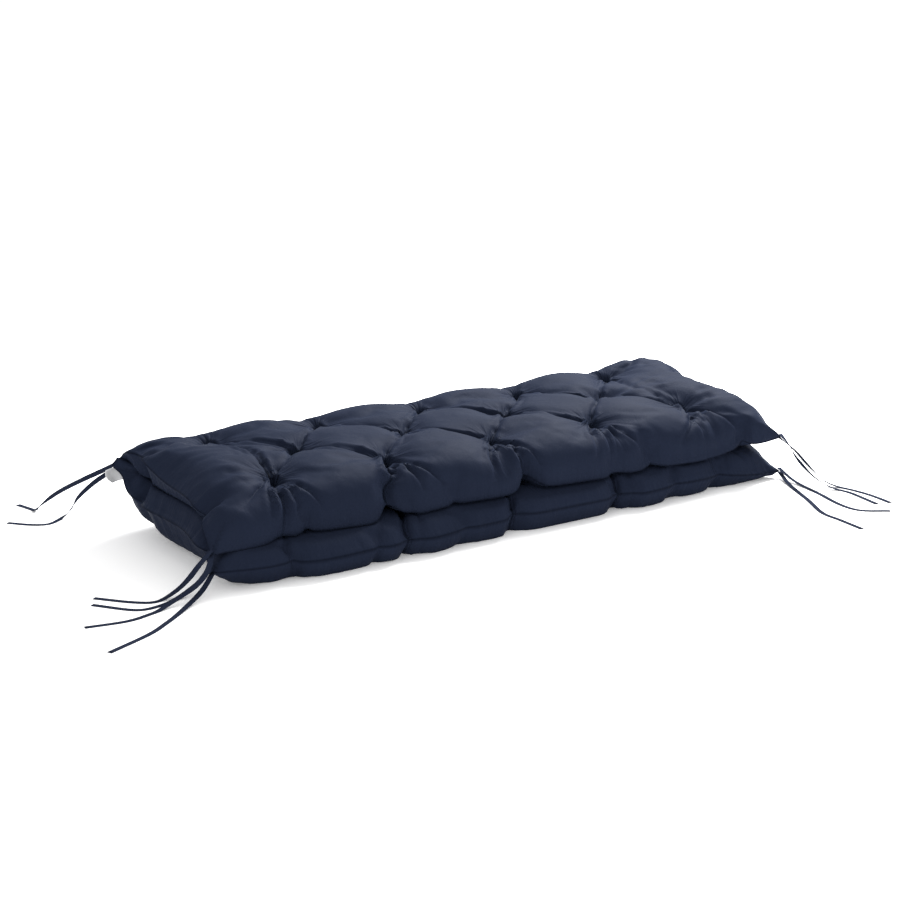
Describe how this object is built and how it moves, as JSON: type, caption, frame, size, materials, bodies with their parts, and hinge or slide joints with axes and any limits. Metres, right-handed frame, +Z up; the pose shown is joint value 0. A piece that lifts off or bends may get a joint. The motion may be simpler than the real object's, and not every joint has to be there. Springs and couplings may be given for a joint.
{
  "type": "bench cushion",
  "caption": "Tufted seat and back cushion for a bench, folded in half along its length, with knife-edge seams and flat cloth ties at the corners and fold.",
  "frame": {"origin": "middle of the flat underside, at the height of the surface it lies on", "axes": "+X along the fold, +Y from the open edges towards the fold, +Z up from the surface it lies on"},
  "size_m": [1.4993, 0.9455, 0.1799],
  "materials": {
    "navy_fabric": "matt woven polyester",
    "navy_tape": "matt folded and sewn tape",
    "label_grey": "satin woven, blank"
  },
  "bodies": {
    "root": {"cushion": "navy_fabric", "tie_fold_left_a": "navy_tape", "tie_fold_left_b": "navy_tape", "tie_top_left_a": "navy_tape", "tie_top_left_b": "navy_tape", "tie_bottom_left_a": "navy_tape", "tie_bottom_left_b": "navy_tape", "tie_top_right_a": "navy_tape", "tie_top_right_b": "navy_tape", "tie_bottom_right_a": "navy_tape", "tie_bottom_right_b": "navy_tape", "tie_fold_right_a": "navy_tape", "tie_fold_right_b": "navy_tape", "label": "label_grey"}
  },
  "joints": []
}
